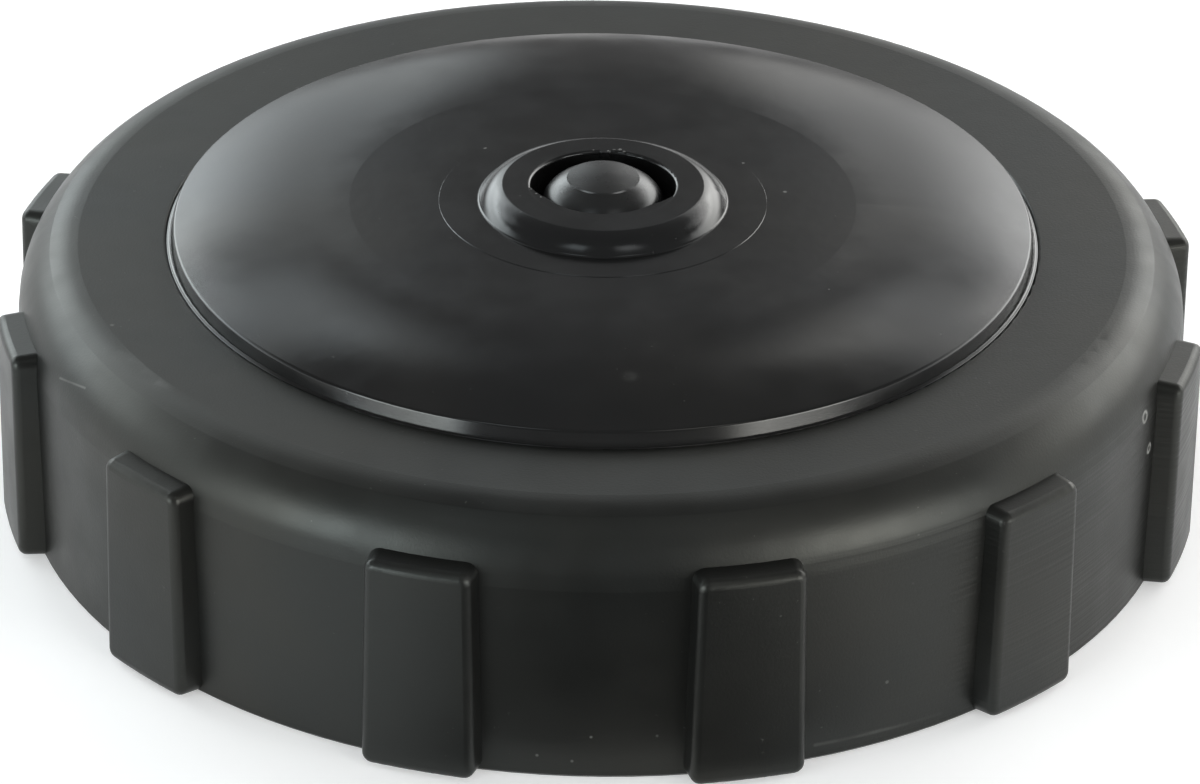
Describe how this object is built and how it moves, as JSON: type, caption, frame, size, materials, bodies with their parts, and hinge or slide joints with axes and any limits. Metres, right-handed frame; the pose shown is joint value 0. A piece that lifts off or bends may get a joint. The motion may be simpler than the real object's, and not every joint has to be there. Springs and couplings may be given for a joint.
{
  "type": "fuel filler cap",
  "caption": "Round screw-on fuel filler cap: ribbed grip ring turning freely round a glossy domed centre with a sprung vent button, gasket and splash baffle.",
  "frame": {"origin": "centre of the rim that the cap stands on, on the axis of its thread", "axes": "+Z along the thread's axis, out through the vent button; +X to the right and -Y to the front in the usual view"},
  "size_m": [0.0948, 0.0948, 0.027],
  "materials": {
    "ring_plastic": "satin, finely grained moulded black",
    "cover_plastic": "glossy moulded black",
    "button_plastic": "glossy moulded black",
    "gasket_rubber": "matte moulded rubber",
    "seal_rubber": "matte soft rubber",
    "seat_plastic": "natural nylon",
    "spring_steel": "drawn stainless wire",
    "baffle_plastic": "satin moulded black"
  },
  "bodies": {
    "ring": {"grip_ring": "ring_plastic"},
    "cover": {"centre_cover": "cover_plastic", "neck_gasket": "gasket_rubber", "valve_seat": "seat_plastic", "pressure_spring": "spring_steel", "splash_baffle": "baffle_plastic"},
    "plunger": {"vent_plunger": "button_plastic", "plunger_washer": "seal_rubber", "vacuum_umbrella": "seal_rubber"}
  },
  "joints": [
    {"name": "cover_turn", "type": "hinge", "parent": "ring", "child": "cover", "pos_m": [0, 0, 0], "axis": [0, 0, 1], "continuous": true},
    {"name": "vent_lift", "type": "slide", "parent": "cover", "child": "plunger", "axis": [0, 0, 1], "range_m": [0, 0.0015], "stiffness_N_per_m": 800, "springref_m": -0.0025, "deforming": ["pressure_spring"]}
  ]
}
